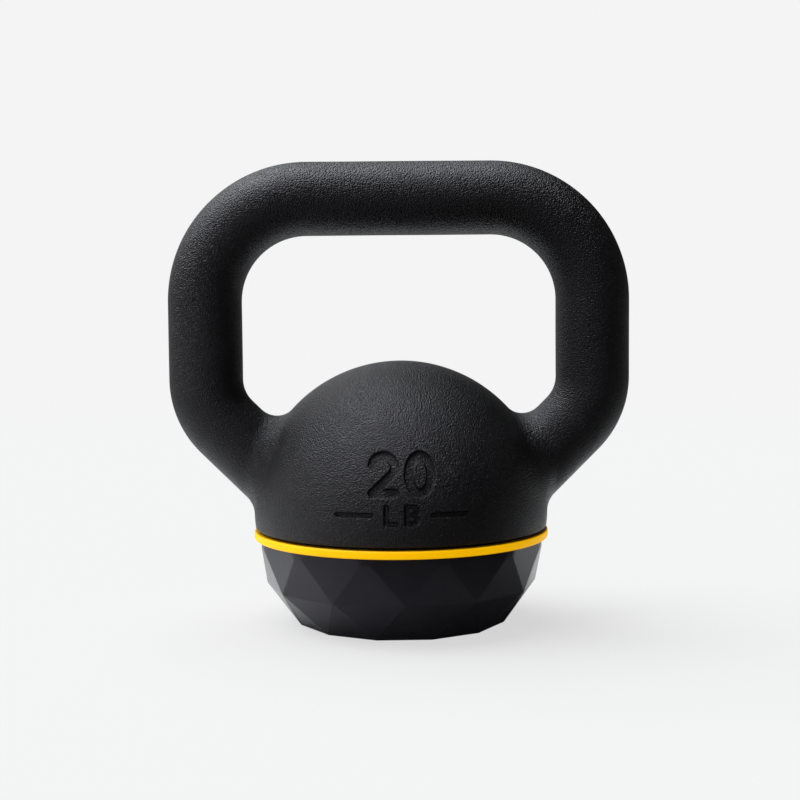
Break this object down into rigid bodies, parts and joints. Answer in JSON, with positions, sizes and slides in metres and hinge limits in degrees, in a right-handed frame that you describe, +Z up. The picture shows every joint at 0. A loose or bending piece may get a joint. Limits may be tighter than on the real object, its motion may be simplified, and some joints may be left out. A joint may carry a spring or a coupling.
{
  "type": "kettlebell",
  "caption": "Ball-shaped cast weight with a wide loop handle, a coloured weight band and a faceted rubber base for swinging and lifting exercises.",
  "frame": {"origin": "centre of the flat foot, on the floor", "axes": "+Z up through the ball's axis, +X along the grip bar, +Y through the ball's face"},
  "size_m": [0.2066, 0.1324, 0.2065],
  "materials": {
    "coated_iron": "black powder coat with a fine orange-peel texture over grey cast iron",
    "band_yellow": "smooth satin yellow silicone",
    "base_rubber": "matte black moulded rubber",
    "plate_steel": "zinc-plated sheet steel",
    "screw_steel": "zinc-plated steel"
  },
  "bodies": {
    "root": {"iron_bell": "coated_iron", "weight_band": "band_yellow", "rubber_base": "base_rubber", "clamp_plate": "plate_steel", "base_screw_1": "screw_steel", "base_screw_2": "screw_steel", "base_screw_3": "screw_steel", "base_screw_4": "screw_steel", "lock_washer_1": "screw_steel", "lock_washer_2": "screw_steel", "lock_washer_3": "screw_steel", "lock_washer_4": "screw_steel"}
  },
  "joints": []
}
